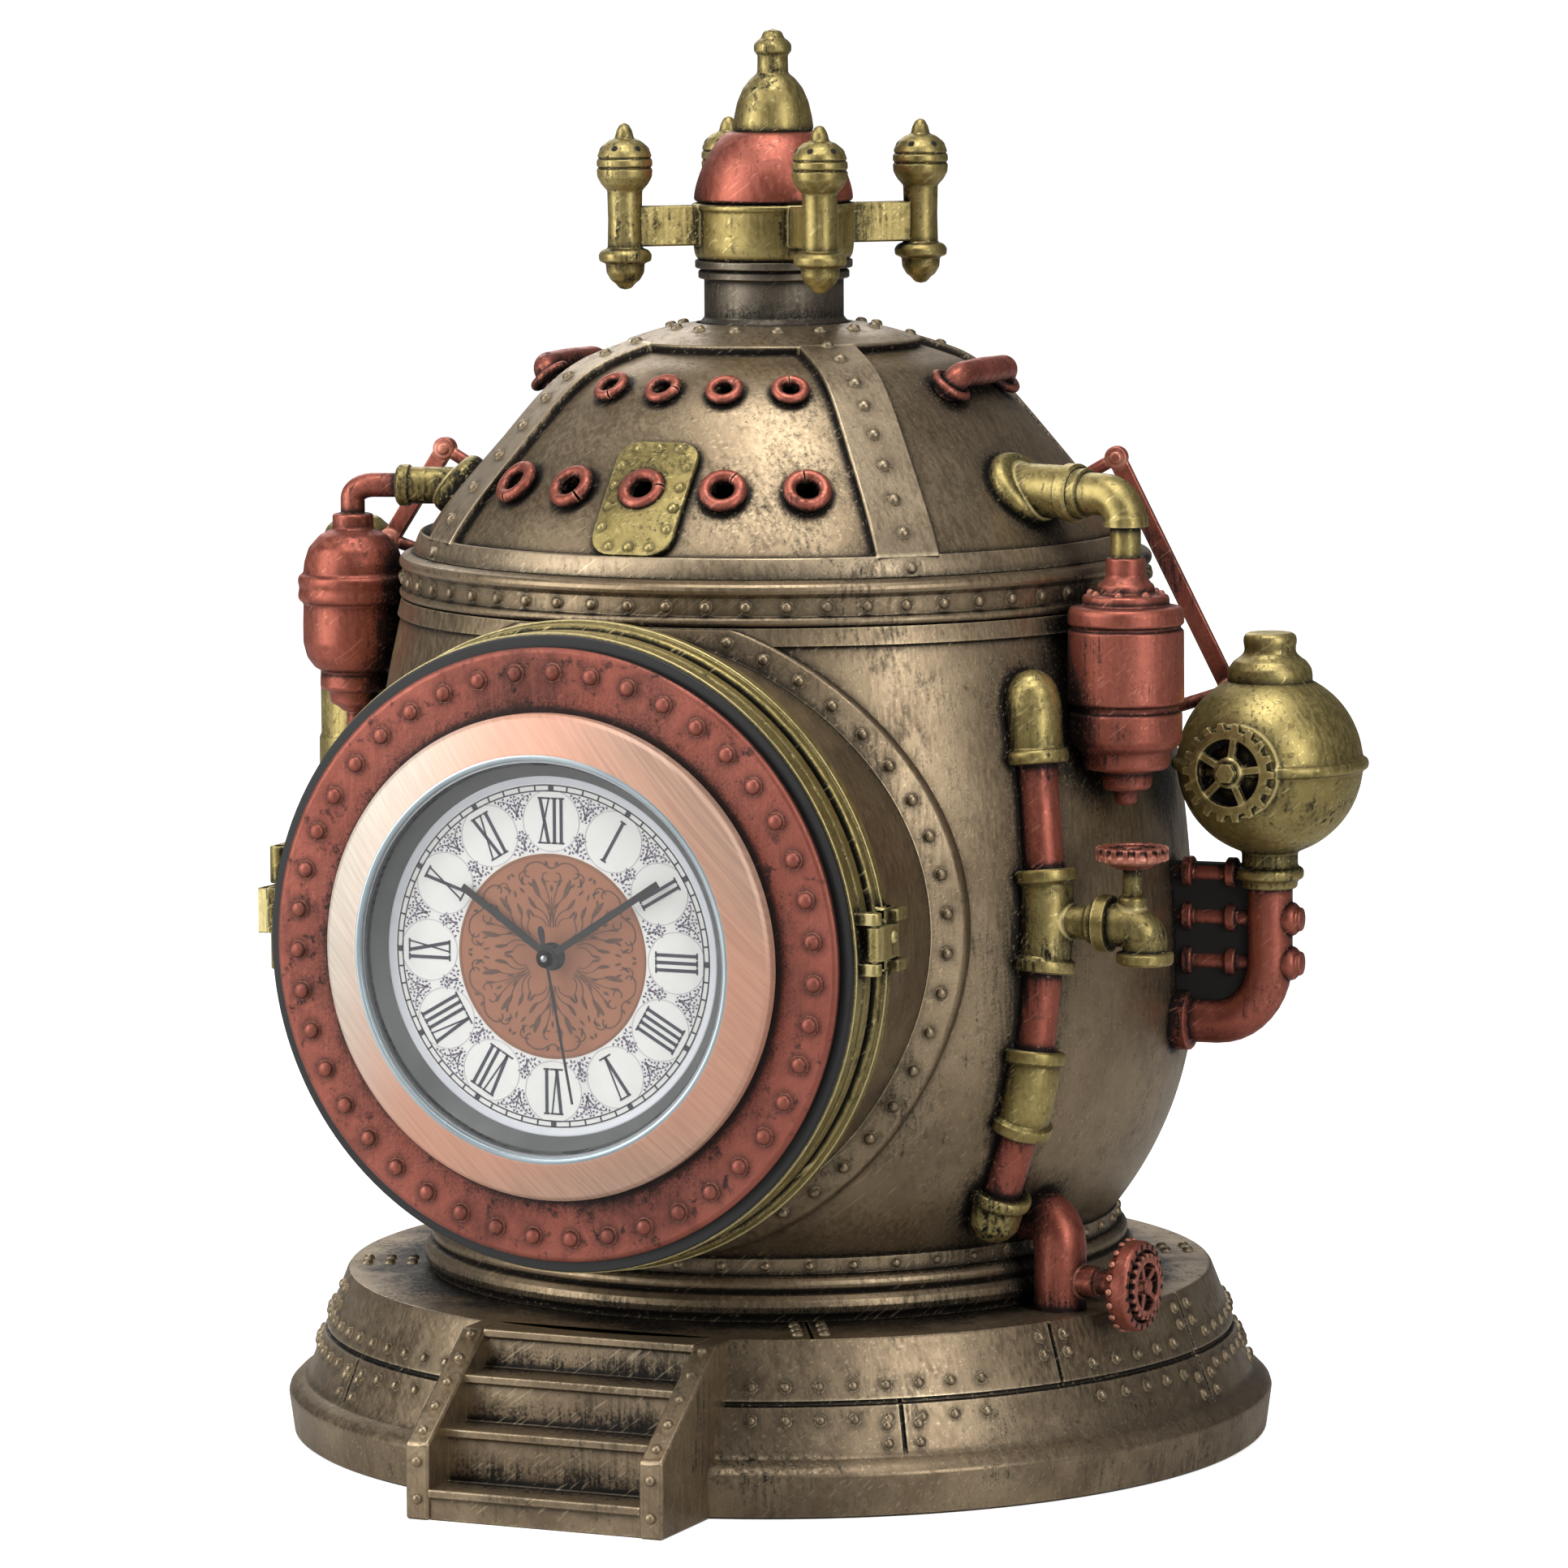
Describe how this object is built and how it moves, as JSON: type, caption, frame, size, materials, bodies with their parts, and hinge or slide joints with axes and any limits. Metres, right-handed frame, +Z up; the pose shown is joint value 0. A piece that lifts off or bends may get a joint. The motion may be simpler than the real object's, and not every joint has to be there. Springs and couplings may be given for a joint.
{
  "type": "trinket box clock",
  "caption": "Boiler-shaped desk clock and trinket box: a round riveted door carries the clock, swings on a side hinge past a latch, and opens the compartment in the body.",
  "frame": {"origin": "middle of the base's flat underside", "axes": "+Z up, -Y out of the clock's face, +X to the right of someone who reads the clock"},
  "size_m": [0.1721, 0.167, 0.2178],
  "materials": {
    "bronze": "cold-cast bronze resin, antiqued, worn bright on edges",
    "bronze_dark": "cold-cast bronze resin with a dark wash",
    "copper": "resin painted in antiqued copper, dark wash in the recesses",
    "brass": "resin painted in antiqued brass, dark wash in the recesses",
    "black_edge": "satin black resin",
    "hinge_brass": "antiqued brass",
    "bezel": "brushed, rose gold",
    "cup": "satin",
    "rehaut": "satin dark grey",
    "glass": "clear mineral glass",
    "dial": "printed, satin white",
    "hands": "satin black",
    "movement": "moulded black",
    "cell": "bright nickel",
    "felt": "black felt",
    "gasket": "matte"
  },
  "bodies": {
    "case": {"base_plinth": "bronze", "stair_treads": "bronze", "stair_stringers": "bronze", "foot_moulding": "bronze", "body_shell": "bronze", "rim_band": "bronze", "drum": "bronze", "dome": "bronze", "dome_frame": "bronze", "drum_flange": "bronze_dark", "neck_collar": "bronze_dark", "port_rings": "copper", "dome_handles": "copper", "copper_bell": "copper", "elbow_left": "copper", "canister_right": "copper", "canister_left": "copper", "stays": "copper", "riser_tubes": "copper", "tap_wheel": "copper", "globe_pipe": "copper", "globe_bolts": "copper", "drain_elbow": "copper", "drain_wheel": "copper", "rear_ring": "brass", "hatch_plate": "brass", "hub": "brass", "posts": "brass", "brass_bell": "brass", "outlets": "brass", "elbow_right": "brass", "left_tank": "brass", "riser_fittings": "brass", "tap": "brass", "globe": "brass", "globe_cap": "brass", "globe_gear": "brass", "hinge_leaf_body": "hinge_brass", "hinge_pin": "hinge_brass", "latch_keeper": "hinge_brass", "base_pad": "felt"},
    "door": {"door_ring": "brass", "door_edge": "black_edge", "door_plate": "copper", "insert_gasket": "gasket", "bezel": "bezel", "insert_cup": "cup", "rehaut": "rehaut", "lens": "glass", "dial": "dial", "movement": "movement", "button_cell": "cell", "hinge_leaf_door": "hinge_brass", "latch_hinge": "hinge_brass"},
    "latch": {"latch_leaf": "hinge_brass"},
    "second_hand": {"second_hand": "hands"},
    "minute_hand": {"minute_hand": "hands"},
    "hour_hand": {"hour_hand": "hands"},
    "set_knob": {"set_knob": "movement"},
    "cell_cover": {"cell_cover": "movement"}
  },
  "joints": [
    {"name": "door_hinge", "type": "hinge", "parent": "case", "child": "door", "pos_m": [-0.0502, -0.0712, 0.0876], "axis": [0, 0, -1], "range_deg": [0, 110]},
    {"name": "latch_pivot", "type": "hinge", "parent": "door", "child": "latch", "pos_m": [0.0494, -0.077, 0.0876], "axis": [0, 0, -1], "range_deg": [0, 100]},
    {"name": "second_spin", "type": "hinge", "parent": "door", "child": "second_hand", "pos_m": [0, -0.0831, 0.084], "axis": [0, 1, 0], "continuous": true},
    {"name": "minute_spin", "type": "hinge", "parent": "door", "child": "minute_hand", "pos_m": [0, -0.0831, 0.084], "axis": [0, 1, 0], "continuous": true},
    {"name": "hour_spin", "type": "hinge", "parent": "door", "child": "hour_hand", "pos_m": [0, -0.0831, 0.084], "axis": [0, 1, 0], "continuous": true},
    {"name": "knob_spin", "type": "hinge", "parent": "door", "child": "set_knob", "pos_m": [-0.01, -0.0646, 0.078], "axis": [0, 1, 0], "continuous": true},
    {"name": "cover_twist", "type": "hinge", "parent": "door", "child": "cell_cover", "pos_m": [0.01, -0.0656, 0.078], "axis": [0, 1, 0], "range_deg": [0, 30]}
  ],
  "couplings": [
    {"joint": "minute_spin", "follows": "second_spin", "ratio": 0.016667},
    {"joint": "hour_spin", "follows": "second_spin", "ratio": 0.0013889},
    {"joint": "knob_spin", "follows": "second_spin", "ratio": -0.016667}
  ]
}
